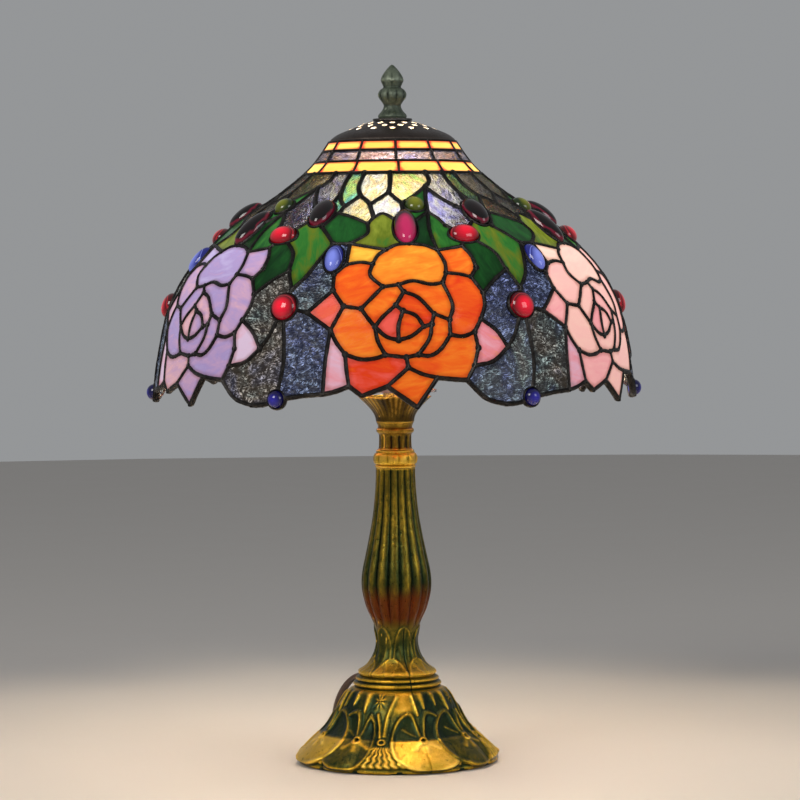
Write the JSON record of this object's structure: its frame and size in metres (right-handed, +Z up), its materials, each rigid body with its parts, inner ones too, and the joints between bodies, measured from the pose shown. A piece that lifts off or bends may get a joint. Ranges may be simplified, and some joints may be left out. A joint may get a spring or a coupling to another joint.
{
  "type": "leaded glass table lamp",
  "caption": "Table lamp with a domed leaded-glass shade of roses, leaves and jewels on a fluted cast metal stand, with harp, bulb, finial and coiled cord.",
  "frame": {"origin": "middle of the underside of the felt pad, on the surface the lamp stands on", "axes": "+Z up along the rod, -Y the front, which the orange rose faces, +X to the right seen from the front; the harp lies in the XZ plane"},
  "size_m": [0.2994, 0.3353, 0.4337],
  "materials": {
    "felt": "green-black felt",
    "iron": "rough cast iron",
    "antique_gold": "antique gold over green patina, brushed on the high points",
    "green_patina": "dark green patina with gold brushed ridges",
    "steel": "zinc-plated",
    "brass": "plain brass",
    "dark_bronze": "dark bronze, satin",
    "amber_glass": "opalescent amber, lit from inside",
    "iridescent_glass": "rippled iridescent glass",
    "ground_glass": "dark blue-black hammered glass",
    "orange_glass": "streaky opalescent orange",
    "pink_glass": "streaky opalescent pink",
    "lilac_glass": "streaky opalescent lilac",
    "leaf_glass": "streaky green",
    "red_jewel_glass": "polished ruby cabochon",
    "blue_jewel_glass": "polished cobalt cabochon",
    "dark_jewel_glass": "polished dark garnet cabochon",
    "lead": "black-patinated solder",
    "lamp_glass": "frosted white bulb glass",
    "porcelain": "unglazed porcelain",
    "cord_plastic": "dark brown twin lead",
    "black_plastic": "moulded black plastic"
  },
  "bodies": {
    "stand": {"felt_pad": "felt", "base_weight": "iron", "foot_casting": "antique_gold", "column_casting": "green_patina", "collar_casting": "antique_gold", "neck_casting": "green_patina", "tulip_cup": "antique_gold", "threaded_rod": "steel", "rod_washer": "steel", "rod_nut": "steel", "spacer_tube": "brass", "lampholder_cap": "brass", "lampholder_shell": "brass", "switch_block": "porcelain", "screw_shell": "brass", "centre_contact": "brass", "harp_saddle": "brass", "harp_bow": "brass", "harp_top_stud": "brass", "strain_relief": "black_plastic", "cord_lead": "cord_plastic", "cord_tail": "cord_plastic", "inner_lead": "cord_plastic", "cord_coil": "cord_plastic", "coil_tie": "black_plastic", "plug_body": "black_plastic", "plug_blade_left": "brass", "plug_blade_right": "brass"},
    "shade": {"vented_cap": "dark_bronze", "cap_washer": "dark_bronze", "band_upper_amber": "amber_glass", "band_middle_iridescent": "iridescent_glass", "band_lower_amber": "amber_glass", "shade_crown": "iridescent_glass", "rose_panel_1": "orange_glass", "rose_panel_2": "pink_glass", "rose_panel_3": "lilac_glass", "rose_panel_4": "orange_glass", "rose_panel_5": "pink_glass", "rose_panel_6": "lilac_glass", "ground_panel_1": "ground_glass", "ground_panel_2": "ground_glass", "ground_panel_3": "ground_glass", "ground_panel_4": "ground_glass", "ground_panel_5": "ground_glass", "ground_panel_6": "ground_glass", "red_jewel_1": "red_jewel_glass", "red_jewel_2": "red_jewel_glass", "red_jewel_3": "red_jewel_glass", "red_jewel_4": "red_jewel_glass", "red_jewel_5": "red_jewel_glass", "red_jewel_6": "red_jewel_glass"},
    "finial": {"finial": "dark_bronze"},
    "bulb": {"bulb_cap": "steel", "bulb_glass": "lamp_glass"},
    "switch_knob": {"switch_knob": "black_plastic"},
    "harp_ferrule_left": {"harp_ferrule_left": "brass"},
    "harp_ferrule_right": {"harp_ferrule_right": "brass"}
  },
  "joints": [
    {"name": "shade_turn", "type": "hinge", "parent": "stand", "child": "shade", "pos_m": [0, 0, 0.39], "axis": [0, 0, 1], "continuous": true},
    {"name": "finial_turn", "type": "hinge", "parent": "stand", "child": "finial", "pos_m": [0, 0, 0.41], "axis": [0, 0, 1], "continuous": true},
    {"name": "bulb_turn", "type": "hinge", "parent": "stand", "child": "bulb", "pos_m": [0, 0, 0.275], "axis": [0, 0, 1], "continuous": true},
    {"name": "switch_knob_turn", "type": "hinge", "parent": "stand", "child": "switch_knob", "pos_m": [0, -0.025, 0.252], "axis": [0, -1, 0], "continuous": true},
    {"name": "ferrule_left_slide", "type": "slide", "parent": "stand", "child": "harp_ferrule_left", "axis": [0, 0, 1], "range_m": [0, 0.012]},
    {"name": "ferrule_right_slide", "type": "slide", "parent": "stand", "child": "harp_ferrule_right", "axis": [0, 0, 1], "range_m": [0, 0.012]}
  ]
}
